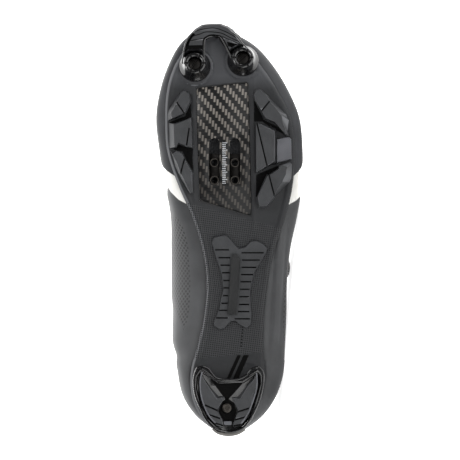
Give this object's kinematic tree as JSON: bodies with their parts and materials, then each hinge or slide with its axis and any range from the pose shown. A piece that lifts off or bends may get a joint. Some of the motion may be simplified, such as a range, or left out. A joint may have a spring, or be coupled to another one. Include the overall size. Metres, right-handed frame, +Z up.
{
  "type": "cycling shoe",
  "caption": "Left off-road cycling shoe with a stiff lugged sole, a slotted cleat bed in a woven carbon window, a heel frame, toe studs and a dial-drawn lace, lying on its outer side.",
  "frame": {"origin": "centre of the bounding box at the floor", "axes": "+X roughly towards the toe, +Y from the sole towards the top of the shoe, +Z up from the floor, towards the shoe's inner side"},
  "size_m": [0.2784, 0.112, 0.1037],
  "materials": {
    "upper_shell": "matte microfibre shell with a padded collar",
    "guard_rubber": "smooth matte rubber rand",
    "textile": "soft black knit",
    "sole_plate": "moulded stiff plate, satin",
    "carbon": "twill woven carbon under clear resin",
    "tread_rubber": "moulded rubber, matte",
    "gloss_tpu": "polished black moulding",
    "steel": "darkened steel",
    "lace": "thin coated cable lace"
  },
  "bodies": {
    "root": {"upper": "upper_shell", "toe_guard": "guard_rubber", "tongue": "textile", "insole": "textile", "outsole": "sole_plate", "carbon_plate": "carbon", "cleat_nut_plate": "steel", "tread_medial_front": "tread_rubber", "tread_medial_middle": "tread_rubber", "tread_medial_rear": "tread_rubber", "tread_lateral_front": "tread_rubber", "tread_lateral_middle": "tread_rubber", "tread_lateral_rear": "tread_rubber", "tread_lateral_platform": "tread_rubber", "toe_tread": "tread_rubber", "stud_base_medial": "gloss_tpu", "stud_plug_medial": "steel", "stud_base_lateral": "gloss_tpu", "stud_plug_lateral": "steel", "arch_pad": "tread_rubber", "heel_frame": "gloss_tpu", "heel_pad_medial": "tread_rubber", "heel_pad_lateral": "tread_rubber", "heel_screw": "steel", "dial_base": "gloss_tpu", "dial_knob": "gloss_tpu", "lace_guide_medial_1": "gloss_tpu", "lace_guide_lateral_2": "gloss_tpu", "lace_guide_medial_2": "gloss_tpu", "lace_guide_lateral_3": "gloss_tpu", "lace_guide_medial_3": "gloss_tpu", "lace": "lace"}
  },
  "joints": []
}
